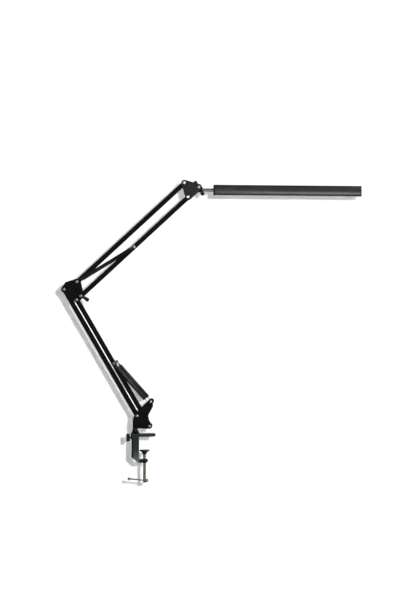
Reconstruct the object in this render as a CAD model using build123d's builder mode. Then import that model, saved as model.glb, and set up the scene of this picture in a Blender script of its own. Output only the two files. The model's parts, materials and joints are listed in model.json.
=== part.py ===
"""Swing-arm LED lamp on a table clamp.

The arm works in the XZ plane, with +Z up. The origin is on the underside of the
clamp's upper jaw, in the plane of the arm, straight above the table edge it grips.
All lengths are in millimetres and all angles in degrees.
"""

import math
import os

from build123d import *

os.makedirs("parts", exist_ok=True)

# Clamp
CLAMP_YAW = 11.0            # the clamp is turned this far on the post
CLAMP_DEPTH = 27.0
SPINE_WIDTH = 16.0
JAW_GAP = 58.0
UPPER_JAW_THICKNESS = 9.0
LOWER_JAW_THICKNESS = 10.0
UPPER_JAW_REACH = 28.4      # past the screw axis
SCREW_REACH = 24.5          # post axis to screw axis
JAW_NOSE_RADIUS = 9.0
JAW_TIP_RADIUS = 9.0        # in plan
UPPER_JAW_EDGE = 3.6
LOWER_JAW_EDGE = 4.2
THROAT_RADIUS = 4.0         # ribs in the inner corners
SPINE_CHAMFER = 13.0
SPINE_EDGE = 1.6
BOSS_RADIUS = 12.0          # where it meets the upper jaw
BOSS_TOP_RADIUS = 7.6
BOSS_HEIGHT = 11.0          # above the upper jaw
COLLAR_RADIUS = 5.4         # round the set screw
COLLAR_LENGTH = 2.4
SOCKET_DEPTH = 34.0
DIMPLE_RADIUS = 1.3
DIMPLE_DEPTH = 1.0
DIMPLE_DROPS = (2.3, 41.0)  # below the jaw face

# Clamp screw, pad and tommy bar
SCREW_RADIUS = 4.0
SCREW_LENGTH = 74.6
SCREW_CHAMFER = 1.0
SCREW_TIP_RADIUS = 3.0
SCREW_TIP_LENGTH = 6.4
PAD_RADIUS = 14.0
PAD_HEIGHT = 10.7
PAD_RIM = 2.2
PAD_NECK_RADIUS = 5.6
PAD_DROP = 34.7             # pad face below the jaw face
TOMMY_RADIUS = 1.9
TOMMY_YAW = -40.0
TOMMY_LONG_SIDE = 54.8      # screw axis to the far knob's centre
TOMMY_SHORT_SIDE = 8.2
TOMMY_KNOB_RADIUS = 4.1
TOMMY_RISE = 6.0            # bar axis above the screw's lower end

# Set screw that locks the post
SET_SCREW_RADIUS = 2.5
SET_SCREW_DROP = 2.3
SET_HEAD_HEIGHT = 19.6
SET_HEAD_LENGTH = 9.0
SET_HEAD_THICKNESS = 7.0
SET_HEAD_HUB_RADIUS = 4.2
SET_HEAD_EDGE = 1.2
SET_SHANK_SHOWING = 6.6

# Post and base bracket
POST_RADIUS = 6.0
POST_HEAD_WIDTH = 12.0
POST_HEAD_HEIGHT = 22.2
POST_HEAD_RISE = 2.6        # post head above the boss
BRACKET_GAP = 32.0          # between a bracket's two plates
PLATE_THICKNESS = 1.6
BASE_PIVOT_RISE = 54.8      # rear pivot above the jaw face
BASE_PIVOT_OFFSET = 5.0     # rear pivot in front of the post axis
SPRING_PIN_OFFSET = (36.8, 37.5)
SPRING_PIN_RADIUS = 3.0
SPRING_PIN_REACH = 1.7      # stub pin past the front spring's axis
BASE_LOBE_REAR = 7.5
BASE_LOBE_FRONT = 6.6
BASE_LOBE_SPRING = 6.8
BASE_SHOULDER = (41.8, 25.4)
BASE_WAIST = (28.4, -0.4)
BASE_NOTCH_RADIUS = 1.8
BASE_NOTCH_INSET = 0.6
SPRING_PIN_PROUD = 0.8      # pin ends beyond the plates

# Arms
ARM_LENGTH = 380.0
TUBE_SIZE = 12.0
TUBE_WALL = 1.0
TUBE_EDGE = 1.5
LOWER_ANGLE = 120.0
UPPER_ANGLE = 42.7
LOWER_LINK = (32.8, -26.6)  # from the rear bar's pivot to the front bar's
UPPER_LINK = (9.75, -36.75)
ELBOW_OFFSET = (33.9, 19.9)
ELBOW_CORNER = (8.0, 14.0)
ELBOW_LOBES = (7.5, 6.6, 8.2, 6.4)
ELBOW_CORNER_RADIUS = 6.0
HEAD_OFFSET = (37.9, -11.1)
HEAD_LOBES = (7.6, 7.2, 7.8)

# Bolts, spacers and wing nuts
BOLT_RADIUS = 2.0
BOLT_HEAD_RADIUS = 4.4
BOLT_HEAD_HEIGHT = 2.4
BOLT_HEAD_ROUND = 1.9
NUT_RADIUS = 4.6
NUT_HEIGHT = 3.2
THIN_NUT_HEIGHT = 1.4
SPACER_RADIUS = 3.2
WING_HUB_RADIUS = 5.2
WING_HUB_HEIGHT = 8.0
WING_REACH = 22.0
WING_RISE = 13.0
WING_ROOT_RISE = 6.2
WING_TIP_RADIUS = 4.0
WING_ROOT_RADIUS = 3.0
WING_THICKNESS = 5.6
WING_ROOT_INSET = 1.0       # wing roots inside the hub's edge
ELBOW_WING_ANGLE = -34.4
HEAD_WING_ANGLE = -57.0

# Springs in their sleeves
SPRING_REACH = 188.0        # spring bolt's distance along the arm
SPRING_OFFSET = 8.2         # between the lower arm's two springs, square to the arm
WIRE_RADIUS = 0.7
SLEEVE_WALL = 0.7
LOWER_SLEEVE_RADIUS = 4.0
LOWER_SLEEVE_START = 12.6   # from the spring bolt
LOWER_SLEEVE_END = 13.7     # to the anchor
UPPER_SLEEVE_RADIUS = 4.5
UPPER_SLEEVE_START = 10.0
UPPER_SLEEVE_END = 14.9
LUG_THICKNESS = 2.0
LUG_ROOT_RADIUS = 5.0
LUG_TIP_RADIUS = 4.6
COIL_WALL = 0.7
COIL_START_INSET = 2.0      # coil's first end inside its sleeve
COIL_END_INSET = 8.0        # and its other end, so that the sleeve can slide
HOOK_OVERLAP = 30.0         # length of hook inside the coil

# Head
HEAD_ANGLE = -0.5
STEM_RADIUS = 4.5
STEM_DROP = 6.8             # stem axis below the tilt pivot
STEM_START = 5.0
BAR_START = 37.8            # tilt pivot to the lamp bar
BAR_LENGTH = 386.0
BAR_HEIGHT = 27.0
BAR_DEPTH = 24.0
BAR_WALL = 1.8
BAR_CORNER = 2.0
BAR_BULGE = 2.0             # how far the sides swell at mid height
GROOVE_DROP = 5.7
GROOVE_WIDTH = 1.2
GROOVE_DEPTH = 0.8
INNER_CAP_LENGTH = 4.5
OUTER_SLEEVE_LENGTH = 18.0
OUTER_CAP_LENGTH = 2.6
OUTER_CAP_SLOT = 2.0
LIGHT_RECESS_DEPTH = 8.0
LIGHT_RECESS_WIDTH = 15.0
WEB_THICKNESS = 2.0
DIFFUSER_THICKNESS = 2.0
BOARD_THICKNESS = 1.2
BOARD_WIDTH = 12.0
CHIP_SIZE = 3.0
CHIP_HEIGHT = 0.8
CHIP_COUNT = 36
KNUCKLE_RADIUS = 8.0
KNUCKLE_WIDTH = 24.0
KNUCKLE_NOSE = 9.5
KNUCKLE_LIP = 1.5           # wall over and under the stem

# Clearances
RUNNING = 0.06              # radial, between a pin and its bore
FACE = 0.2                  # between flat faces that slide
LOOSE = 0.3                 # between other neighbours


def moved(point, angle, distance):
    """The point at a distance from another, at an angle in the XZ plane."""
    turn = math.radians(angle)
    return (point[0] + distance * math.cos(turn), point[1] + distance * math.sin(turn))


def added(point, offset):
    return (point[0] + offset[0], point[1] + offset[1])


def direction(start, end):
    return math.degrees(math.atan2(end[1] - start[1], end[0] - start[0]))


def side_plane(y_high):
    """A plane whose sketches use X and Z, extruded towards -Y from y_high."""
    return Plane.XZ.offset(-y_high)


def bar_plane(point, angle, y_high):
    """As side_plane, with its origin at a point and its X along an angle."""
    turn = math.radians(angle)
    return Plane(
        origin=(point[0], y_high, point[1]),
        x_dir=(math.cos(turn), 0, math.sin(turn)),
        z_dir=(0, -1, 0),
    )


def save(builder, name):
    builder.part.label = name
    export_step(builder.part, f"parts/{name}.step")


# Places in the XZ plane, each from the one before
yaw = math.radians(CLAMP_YAW)
post_x = -SCREW_REACH * math.cos(yaw)
screw_y = SCREW_REACH * math.sin(yaw)
boss_top = UPPER_JAW_THICKNESS + BOSS_HEIGHT
post_head_bottom = boss_top + POST_HEAD_RISE
base_rear = (post_x + BASE_PIVOT_OFFSET, BASE_PIVOT_RISE)
base_front = added(base_rear, LOWER_LINK)
spring_pin = added(base_rear, SPRING_PIN_OFFSET)
elbow_rear = moved(base_rear, LOWER_ANGLE, ARM_LENGTH)
elbow_front = added(elbow_rear, LOWER_LINK)
elbow_upper = added(elbow_rear, ELBOW_OFFSET)
elbow_lower = added(elbow_upper, UPPER_LINK)
head_upper = moved(elbow_upper, UPPER_ANGLE, ARM_LENGTH)
head_lower = added(head_upper, UPPER_LINK)
head_pivot = added(head_upper, HEAD_OFFSET)
lower_bolt = moved(base_front, LOWER_ANGLE, SPRING_REACH)
upper_bolt = moved(elbow_lower, UPPER_ANGLE, SPRING_REACH)
lower_lug = moved(lower_bolt, LOWER_ANGLE - 90, SPRING_OFFSET)
front_pin = moved(spring_pin, LOWER_ANGLE + 90, SPRING_OFFSET)

gap_half = BRACKET_GAP / 2
plate_outer = gap_half + PLATE_THICKNESS
tube_half = TUBE_SIZE / 2
lower_spring_y = tube_half + LOOSE + LOWER_SLEEVE_RADIUS
upper_spring_y = tube_half + LOOSE + UPPER_SLEEVE_RADIUS


# Clamp body: a C-shaped casting with a socket for the post, built with its screw on the Z axis
clamp_frame = Plane(origin=(0, screw_y, 0), x_dir=(math.cos(yaw), math.sin(yaw), 0), z_dir=(0, 0, 1))
spine_left = -SCREW_REACH - SPINE_WIDTH / 2
spine_right = -SCREW_REACH + SPINE_WIDTH / 2
clamp_bottom = -JAW_GAP - LOWER_JAW_THICKNESS
jaw_root = SPINE_WIDTH - SPINE_CHAMFER
throat_depth = CLAMP_DEPTH - 2 * (THROAT_RADIUS + LOWER_JAW_EDGE)

with BuildPart() as spine:
    with BuildSketch(side_plane(CLAMP_DEPTH / 2)):
        with BuildLine():
            Polyline(
                (spine_left, UPPER_JAW_THICKNESS),
                (spine_right, UPPER_JAW_THICKNESS),
                (spine_right, clamp_bottom),
                (spine_left + SPINE_CHAMFER, clamp_bottom),
                (spine_left, clamp_bottom + SPINE_CHAMFER),
                close=True,
            )
        make_face()
    extrude(amount=CLAMP_DEPTH)
    fillet(spine.edges().filter_by(Axis.Z).group_by(Axis.X)[0], radius=SPINE_EDGE)

with BuildPart() as upper_jaw:
    with BuildSketch(Plane.XY):
        with Locations(((UPPER_JAW_REACH - SCREW_REACH) / 2, 0)):
            RectangleRounded(UPPER_JAW_REACH + SCREW_REACH, CLAMP_DEPTH, JAW_TIP_RADIUS)
    extrude(amount=UPPER_JAW_THICKNESS)
    fillet(upper_jaw.faces().filter_by(Axis.Z).edges(), radius=UPPER_JAW_EDGE)

with BuildPart() as lower_jaw:
    with BuildSketch(Plane.XY.offset(clamp_bottom)):
        Circle(JAW_NOSE_RADIUS)
        with Locations((spine_right - jaw_root / 2, 0)):
            Rectangle(jaw_root, CLAMP_DEPTH)
        make_hull()
    extrude(amount=LOWER_JAW_THICKNESS)
    jaw_edges = lower_jaw.faces().filter_by(Axis.Z).edges()
    fillet(jaw_edges.filter_by(lambda edge: edge.center().X > spine_right - jaw_root / 2), radius=LOWER_JAW_EDGE)

set_plane = Plane(origin=(spine_left, 0, -SET_SCREW_DROP), x_dir=(0, 0, 1), z_dir=(-1, 0, 0))
with BuildPart() as clamp_shape:
    add(spine)
    add(upper_jaw)
    add(lower_jaw)
    with BuildSketch(side_plane(throat_depth / 2)):
        for corner, hollow in ((0, -THROAT_RADIUS), (-JAW_GAP, THROAT_RADIUS - JAW_GAP)):
            with Locations((spine_right + THROAT_RADIUS / 2, (corner + hollow) / 2)):
                Rectangle(THROAT_RADIUS, THROAT_RADIUS)
            with Locations((spine_right + THROAT_RADIUS, hollow)):
                Circle(THROAT_RADIUS, mode=Mode.SUBTRACT)
    extrude(amount=throat_depth)
    with BuildSketch(Plane.XZ):
        with BuildLine():
            Polyline(
                (-SCREW_REACH + BOSS_RADIUS, UPPER_JAW_THICKNESS),
                (-SCREW_REACH + BOSS_RADIUS, 0),
                (-SCREW_REACH, 0),
                (-SCREW_REACH, boss_top),
                (-SCREW_REACH + BOSS_TOP_RADIUS, boss_top),
            )
            TangentArc(
                (-SCREW_REACH + BOSS_TOP_RADIUS, boss_top),
                (-SCREW_REACH + BOSS_RADIUS, UPPER_JAW_THICKNESS),
                tangent=(0, -1),
            )
        make_face()
    revolve(axis=Axis((-SCREW_REACH, 0, 0), (0, 0, 1)))
    with BuildSketch(set_plane):
        Circle(COLLAR_RADIUS)
    extrude(amount=COLLAR_LENGTH)
    with Locations(Plane(origin=(-SCREW_REACH, 0, boss_top), z_dir=(0, 0, 1))):
        Hole(radius=POST_RADIUS + RUNNING, depth=SOCKET_DEPTH)
    with Locations(Plane(origin=(0, 0, -JAW_GAP), z_dir=(0, 0, 1))):
        Hole(radius=SCREW_RADIUS + RUNNING, depth=LOWER_JAW_THICKNESS)
    with Locations(set_plane.offset(COLLAR_LENGTH)):
        Hole(radius=SET_SCREW_RADIUS + RUNNING, depth=SPINE_WIDTH / 2 + COLLAR_LENGTH)
    for drop in DIMPLE_DROPS:
        with Locations(Plane(origin=(-SCREW_REACH, -CLAMP_DEPTH / 2, -drop), x_dir=(1, 0, 0), z_dir=(0, -1, 0))):
            Hole(radius=DIMPLE_RADIUS, depth=DIMPLE_DEPTH)

with BuildPart() as clamp_body:
    with Locations(clamp_frame):
        add(clamp_shape)
save(clamp_body, "clamp_body")

# Clamp screw, its swivel pad and the bar that turns it
pad_bottom = -PAD_DROP - PAD_HEIGHT
screw_axis = Axis((0, screw_y, 0), (0, 0, 1))
screw_plane = Plane(origin=(0, screw_y, 0), x_dir=(1, 0, 0), z_dir=(0, -1, 0))
screw_bottom = pad_bottom - FACE - SCREW_LENGTH
tommy_height = screw_bottom + TOMMY_RISE
tommy_turn = math.radians(TOMMY_YAW)
tommy_dir = Vector(math.cos(tommy_turn), math.sin(tommy_turn), 0)
tommy_centre = Vector(0, screw_y, tommy_height)

with BuildPart() as pressure_pad:
    with BuildSketch(screw_plane):
        with BuildLine():
            Polyline(
                (SCREW_TIP_RADIUS + RUNNING, pad_bottom),
                (PAD_NECK_RADIUS, pad_bottom),
                (PAD_RADIUS, -PAD_DROP - PAD_RIM),
                (PAD_RADIUS, -PAD_DROP),
                (0, -PAD_DROP),
                (0, pad_bottom + SCREW_TIP_LENGTH),
                (SCREW_TIP_RADIUS + RUNNING, pad_bottom + SCREW_TIP_LENGTH),
                close=True,
            )
        make_face()
    revolve(axis=screw_axis)
save(pressure_pad, "pressure_pad")

with BuildPart() as clamp_screw:
    with BuildSketch(screw_plane):
        with BuildLine():
            Polyline(
                (0, screw_bottom),
                (SCREW_RADIUS - SCREW_CHAMFER, screw_bottom),
                (SCREW_RADIUS, screw_bottom + SCREW_CHAMFER),
                (SCREW_RADIUS, pad_bottom - FACE),
                (SCREW_TIP_RADIUS, pad_bottom - FACE),
                (SCREW_TIP_RADIUS, pad_bottom + SCREW_TIP_LENGTH - FACE),
                (0, pad_bottom + SCREW_TIP_LENGTH - FACE),
                close=True,
            )
        make_face()
    revolve(axis=screw_axis)
    with Locations(Plane(origin=tommy_centre, z_dir=tommy_dir)):
        Hole(radius=TOMMY_RADIUS + RUNNING)
save(clamp_screw, "clamp_screw")

with BuildPart() as tommy_bar:
    with BuildSketch(Plane(origin=tommy_centre - tommy_dir * TOMMY_LONG_SIDE, z_dir=tommy_dir)):
        Circle(TOMMY_RADIUS)
    extrude(amount=TOMMY_LONG_SIDE + TOMMY_SHORT_SIDE)
save(tommy_bar, "tommy_bar")

with BuildPart() as tommy_knobs:
    for distance in (-TOMMY_LONG_SIDE, TOMMY_SHORT_SIDE):
        knob_plane = Plane(origin=tommy_centre + tommy_dir * distance, z_dir=tommy_dir)
        with Locations(knob_plane):
            Sphere(TOMMY_KNOB_RADIUS)
    with BuildSketch(Plane(origin=tommy_centre - tommy_dir * TOMMY_LONG_SIDE, z_dir=tommy_dir)):
        Circle(TOMMY_RADIUS)
    extrude(amount=TOMMY_LONG_SIDE + TOMMY_SHORT_SIDE, mode=Mode.SUBTRACT)
save(tommy_knobs, "tommy_knobs")

# Set screw: a thumb screw with a two-lobed head, in the clamp's back
set_tip = SPINE_WIDTH / 2 - POST_RADIUS - FACE
with BuildPart() as set_screw_shape:
    with BuildSketch(set_plane.offset(SET_SHANK_SHOWING)):
        RectangleRounded(SET_HEAD_HEIGHT, SET_HEAD_THICKNESS, SET_HEAD_THICKNESS / 2 - FACE)
        Circle(SET_HEAD_HUB_RADIUS)
    extrude(amount=SET_HEAD_LENGTH)
    fillet(set_screw_shape.faces().filter_by(Axis.X).edges(), radius=SET_HEAD_EDGE)
    with BuildSketch(set_plane.offset(-set_tip)):
        Circle(SET_SCREW_RADIUS)
    extrude(amount=set_tip + SET_SHANK_SHOWING)

with BuildPart() as set_screw:
    with Locations(clamp_frame):
        add(set_screw_shape)
save(set_screw, "set_screw")


# Fastener shapes that every bracket uses
def bolt_row(points, y_front, y_rear):
    """Round-headed bolts along Y, from a front face to past a rear one."""
    with BuildPart() as bolts:
        for point in points:
            with BuildSketch(bar_plane(point, 0, y_rear)):
                Circle(BOLT_RADIUS)
            extrude(amount=y_rear - y_front)
            with BuildSketch(bar_plane(point, 0, y_front)):
                Circle(BOLT_HEAD_RADIUS)
            extrude(amount=BOLT_HEAD_HEIGHT)
        rims = bolts.edges().filter_by(GeomType.CIRCLE).group_by(Axis.Y)[0]
        fillet(rims, radius=BOLT_HEAD_ROUND)
    return bolts


def nut_row(points, y_face, height=NUT_HEIGHT):
    """Hexagon nuts that stand on a rear face."""
    with BuildPart() as nuts:
        for point in points:
            with BuildSketch(bar_plane(point, 0, y_face + height)):
                RegularPolygon(NUT_RADIUS, 6)
                Circle(BOLT_RADIUS + RUNNING, mode=Mode.SUBTRACT)
            extrude(amount=height)
    return nuts


def both_sides(points, y_inner, y_outer):
    """A point with its low and high Y, for each point and each side of the arm."""
    spans = ((-y_outer, -y_inner), (y_inner, y_outer))
    return [(point, low, high) for point in points for low, high in spans]


def spacer_row(places):
    """Round spacers along Y, each at a point and from a low to a high Y."""
    with BuildPart() as spacers:
        for point, y_low, y_high in places:
            with BuildSketch(bar_plane(point, 0, y_high)):
                Circle(SPACER_RADIUS)
                Circle(BOLT_RADIUS + RUNNING, mode=Mode.SUBTRACT)
            extrude(amount=y_high - y_low)
    return spacers


def drill(points, radius):
    """Cuts holes along Y right through the open part."""
    with Locations(*[bar_plane(point, 0, 0) for point in points]):
        Hole(radius)


# Post and base bracket
with BuildPart() as post:
    with BuildSketch(Plane(origin=(post_x, 0, boss_top - SOCKET_DEPTH + FACE), z_dir=(0, 0, 1))):
        Circle(POST_RADIUS)
    extrude(amount=SOCKET_DEPTH + POST_HEAD_RISE - FACE)
    with BuildSketch(Plane(origin=(post_x, 0, post_head_bottom), z_dir=(0, 0, 1))):
        Rectangle(POST_HEAD_WIDTH, BRACKET_GAP)
    extrude(amount=POST_HEAD_HEIGHT)
save(post, "post")

head_left = post_x - POST_HEAD_WIDTH / 2
shoulder = added(base_rear, BASE_SHOULDER)
waist = added(base_rear, BASE_WAIST)
base_points = (base_rear, base_front)

for name, y_high in (("base_plate_front", -gap_half), ("base_plate_rear", plate_outer)):
    with BuildPart() as base_plate:
        with BuildSketch(side_plane(y_high)):
            with Locations(base_rear):
                Circle(BASE_LOBE_REAR)
            with Locations(base_front):
                Circle(BASE_LOBE_FRONT)
            with Locations((post_x, post_head_bottom + POST_HEAD_HEIGHT / 2)):
                Rectangle(POST_HEAD_WIDTH, POST_HEAD_HEIGHT)
            make_hull()
        extrude(amount=PLATE_THICKNESS)
        with BuildSketch(side_plane(y_high)):
            with Locations(base_rear):
                Circle(BASE_LOBE_REAR)
            with Locations(spring_pin):
                Circle(BASE_LOBE_SPRING)
            make_hull()
            Polygon(base_rear, spring_pin, shoulder, waist, base_front, align=None)
        extrude(amount=PLATE_THICKNESS)
        with BuildSketch(side_plane(y_high)):
            with Locations(added(shoulder, (BASE_NOTCH_INSET, BASE_NOTCH_RADIUS))):
                Circle(BASE_NOTCH_RADIUS)
        extrude(amount=PLATE_THICKNESS, mode=Mode.SUBTRACT)
        drill(base_points, BOLT_RADIUS + RUNNING)
        pins = [spring_pin, front_pin] if y_high < 0 else [spring_pin]
        drill(pins, SPRING_PIN_RADIUS + RUNNING)
    save(base_plate, name)

save(bolt_row(base_points, -plate_outer, plate_outer + NUT_HEIGHT), "base_bolts")
save(nut_row(base_points, plate_outer), "base_nuts")
save(spacer_row(both_sides(base_points, tube_half + FACE, gap_half)), "base_spacers")

with BuildPart() as base_spring_pin:
    with BuildSketch(bar_plane(spring_pin, 0, plate_outer + SPRING_PIN_PROUD)):
        Circle(SPRING_PIN_RADIUS)
    extrude(amount=2 * (plate_outer + SPRING_PIN_PROUD))
    stub_end = SPRING_PIN_REACH - lower_spring_y
    with BuildSketch(bar_plane(front_pin, 0, stub_end)):
        Circle(SPRING_PIN_RADIUS)
    extrude(amount=plate_outer + SPRING_PIN_PROUD + stub_end)
save(base_spring_pin, "base_spring_pin")


# Arm bars: square tubes with rounded, drilled ends
def arm_bar(start, angle, extra=None):
    end = moved(start, angle, ARM_LENGTH)
    with BuildPart() as bar:
        with BuildSketch(bar_plane(start, angle, tube_half)):
            with Locations((ARM_LENGTH / 2, 0)):
                SlotCenterToCenter(ARM_LENGTH, TUBE_SIZE)
        extrude(amount=TUBE_SIZE)
        fillet(bar.faces().filter_by(Axis.Y).edges(), radius=TUBE_EDGE)
        with BuildSketch(bar_plane(start, angle, tube_half - TUBE_WALL)):
            with Locations((ARM_LENGTH / 2, 0)):
                Rectangle(ARM_LENGTH + 2 * TUBE_SIZE, TUBE_SIZE - 2 * TUBE_WALL)
        extrude(amount=TUBE_SIZE - 2 * TUBE_WALL, mode=Mode.SUBTRACT)
        drill([start, end] + ([extra] if extra else []), BOLT_RADIUS + RUNNING)
    return bar


save(arm_bar(base_rear, LOWER_ANGLE), "lower_bar_rear")
save(arm_bar(base_front, LOWER_ANGLE, lower_bolt), "lower_bar_front")
save(arm_bar(elbow_upper, UPPER_ANGLE), "upper_bar_upper")
save(arm_bar(elbow_lower, UPPER_ANGLE, upper_bolt), "upper_bar_lower")

# Elbow bracket
elbow_points = (elbow_rear, elbow_front, elbow_upper, elbow_lower)
for name, y_high in (("elbow_plate_front", -gap_half), ("elbow_plate_rear", plate_outer)):
    with BuildPart() as elbow_plate:
        with BuildSketch(side_plane(y_high)):
            for point, lobe in zip(elbow_points, ELBOW_LOBES):
                with Locations(point):
                    Circle(lobe)
            with Locations(added(elbow_rear, ELBOW_CORNER)):
                Circle(ELBOW_CORNER_RADIUS)
            make_hull()
        extrude(amount=PLATE_THICKNESS)
        drill(elbow_points, BOLT_RADIUS + RUNNING)
    save(elbow_plate, name)

save(bolt_row(elbow_points[:3], -plate_outer, plate_outer + NUT_HEIGHT), "elbow_bolts")
save(nut_row(elbow_points[:3], plate_outer), "elbow_nuts")
save(spacer_row(both_sides(elbow_points, tube_half + FACE, gap_half)), "elbow_spacers")
save(bolt_row([elbow_lower], -plate_outer, plate_outer + WING_HUB_HEIGHT), "elbow_clamp_bolt")

# Head bracket
head_points = (head_upper, head_lower, head_pivot)
for name, y_high in (("head_plate_front", -gap_half), ("head_plate_rear", plate_outer)):
    with BuildPart() as head_plate:
        with BuildSketch(side_plane(y_high)):
            for point, lobe in zip(head_points, HEAD_LOBES):
                with Locations(point):
                    Circle(lobe)
            make_hull()
        extrude(amount=PLATE_THICKNESS)
        drill(head_points, BOLT_RADIUS + RUNNING)
    save(head_plate, name)

save(bolt_row(head_points[:2], -plate_outer, plate_outer + NUT_HEIGHT), "head_bolts")
save(nut_row(head_points[:2], plate_outer), "head_nuts")
save(spacer_row(both_sides(head_points[:2], tube_half + FACE, gap_half)), "head_spacers")
save(bolt_row([head_pivot], -plate_outer, plate_outer + WING_HUB_HEIGHT), "tilt_bolt")
save(spacer_row(both_sides([head_pivot], KNUCKLE_WIDTH / 2 + FACE, gap_half)), "tilt_washers")


# Wing nuts on the rear of the elbow and of the head bracket
def wing_nut(point, angle):
    base = plate_outer + FACE
    turn = math.radians(angle)
    radial = Plane(
        origin=(point[0], base, point[1]),
        x_dir=(math.cos(turn), 0, math.sin(turn)),
        z_dir=(-math.sin(turn), 0, math.cos(turn)),
    )
    with BuildPart() as nut:
        with BuildSketch(bar_plane(point, angle, base + WING_HUB_HEIGHT)):
            Circle(WING_HUB_RADIUS)
        extrude(amount=WING_HUB_HEIGHT)
        with BuildSketch(radial.offset(-WING_THICKNESS / 2)):
            with Locations((WING_HUB_RADIUS - WING_ROOT_INSET, WING_ROOT_RISE)):
                Circle(WING_ROOT_RADIUS)
            with Locations((WING_REACH - WING_TIP_RADIUS, WING_RISE)):
                Circle(WING_TIP_RADIUS)
            make_hull()
        extrude(amount=WING_THICKNESS)
        with BuildSketch(radial.offset(-WING_THICKNESS / 2)):
            with Locations((WING_ROOT_INSET - WING_HUB_RADIUS, WING_ROOT_RISE)):
                Circle(WING_ROOT_RADIUS)
            with Locations((WING_TIP_RADIUS - WING_REACH, WING_RISE)):
                Circle(WING_TIP_RADIUS)
            make_hull()
        extrude(amount=WING_THICKNESS)
        with BuildSketch(bar_plane(point, 0, base + 2 * WING_HUB_HEIGHT)):
            Circle(BOLT_RADIUS + RUNNING)
        extrude(amount=2 * WING_HUB_HEIGHT, mode=Mode.SUBTRACT)
    return nut


save(wing_nut(elbow_lower, ELBOW_WING_ANGLE), "elbow_wing_nut")
save(wing_nut(head_pivot, HEAD_WING_ANGLE), "head_wing_nut")


# Springs: a hook on the arm's bolt, a coil in a sleeve, and a hook on the bracket
def spring_frame(bolt, anchor, y):
    """A plane at the spring bolt whose Z runs along the spring to its anchor."""
    turn = math.radians(direction(bolt, anchor))
    return Plane(
        origin=(bolt[0], y, bolt[1]),
        x_dir=(0, 1, 0),
        z_dir=(math.cos(turn), 0, math.sin(turn)),
    )


def hook_ring(point, y):
    """A closed wire eye round a pin along Y."""
    ring_radius = SPACER_RADIUS + LOOSE + WIRE_RADIUS
    with Locations(Plane(origin=(point[0], y, point[1]), x_dir=(1, 0, 0), z_dir=(0, -1, 0))):
        Torus(ring_radius, WIRE_RADIUS)
    return ring_radius


def springs(places, sleeve_radius, sleeve_start, sleeve_end):
    """Coils, sleeves and anchor hooks for springs at (bolt, anchor, y) places."""
    coil_radius = sleeve_radius - SLEEVE_WALL - LOOSE
    coil_start = sleeve_start + COIL_START_INSET
    ends = [math.dist(bolt, anchor) - sleeve_end for bolt, anchor, y in places]
    with BuildPart() as coils:
        for (bolt, anchor, y), sleeve_stop in zip(places, ends):
            frame = spring_frame(bolt, anchor, y)
            coil_length = sleeve_stop - COIL_END_INSET - coil_start
            ring_radius = hook_ring(bolt, y)
            with BuildSketch(frame.offset(ring_radius)):
                Circle(WIRE_RADIUS)
            extrude(amount=coil_start - ring_radius + COIL_WALL)
            with BuildSketch(frame.offset(coil_start)):
                Circle(coil_radius)
            extrude(amount=coil_length)
            with BuildSketch(frame.offset(coil_start + COIL_WALL)):
                Circle(coil_radius - COIL_WALL)
            extrude(amount=coil_length, mode=Mode.SUBTRACT)
    with BuildPart() as sleeves:
        for (bolt, anchor, y), sleeve_stop in zip(places, ends):
            with BuildSketch(spring_frame(bolt, anchor, y).offset(sleeve_start)):
                Circle(sleeve_radius)
                Circle(sleeve_radius - SLEEVE_WALL, mode=Mode.SUBTRACT)
            extrude(amount=sleeve_stop - sleeve_start)
    with BuildPart() as hooks:
        for (bolt, anchor, y), sleeve_stop in zip(places, ends):
            ring_radius = hook_ring(anchor, y)
            hook_start = sleeve_stop - COIL_END_INSET - HOOK_OVERLAP
            with BuildSketch(spring_frame(bolt, anchor, y).offset(hook_start)):
                Circle(WIRE_RADIUS)
            extrude(amount=math.dist(bolt, anchor) - ring_radius - hook_start)
    return coils, sleeves, hooks


lower_sizes = (LOWER_SLEEVE_RADIUS, LOWER_SLEEVE_START, LOWER_SLEEVE_END)
front_set = springs([(lower_bolt, front_pin, -lower_spring_y)], *lower_sizes)
for builder, name in zip(front_set, ("lower_spring_front", "lower_sleeve_front", "lower_hook_front")):
    save(builder, name)
rear_set = springs([(lower_lug, spring_pin, lower_spring_y)], *lower_sizes)
for builder, name in zip(rear_set, ("lower_spring_rear", "lower_sleeve_rear", "lower_hook_rear")):
    save(builder, name)
upper_set = springs(
    [(upper_bolt, elbow_upper, -upper_spring_y), (upper_bolt, elbow_upper, upper_spring_y)],
    UPPER_SLEEVE_RADIUS, UPPER_SLEEVE_START, UPPER_SLEEVE_END,
)
for builder, name in zip(upper_set, ("upper_springs", "upper_sleeves", "upper_spring_hooks")):
    save(builder, name)

# Spring bolts: the upper one takes both eyes, the lower one the front eye and the rear spring's lug
lower_seat = lower_spring_y + WIRE_RADIUS + LOOSE
upper_seat = upper_spring_y + WIRE_RADIUS + LOOSE
lug_face = tube_half + LUG_THICKNESS
save(spacer_row(both_sides([upper_bolt], tube_half, upper_seat)), "upper_spring_bushes")
save(bolt_row([upper_bolt], -upper_seat, upper_seat + NUT_HEIGHT), "upper_spring_bolt")
save(nut_row([upper_bolt], upper_seat), "upper_spring_nut")
lower_bushes = [(lower_bolt, -lower_seat, -tube_half), (lower_lug, lug_face, lower_seat)]
save(spacer_row(lower_bushes), "lower_spring_bushes")
save(bolt_row([lower_bolt], -lower_seat, lug_face + THIN_NUT_HEIGHT), "lower_spring_bolt")
save(nut_row([lower_bolt], lug_face, THIN_NUT_HEIGHT), "lower_spring_nut")

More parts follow.
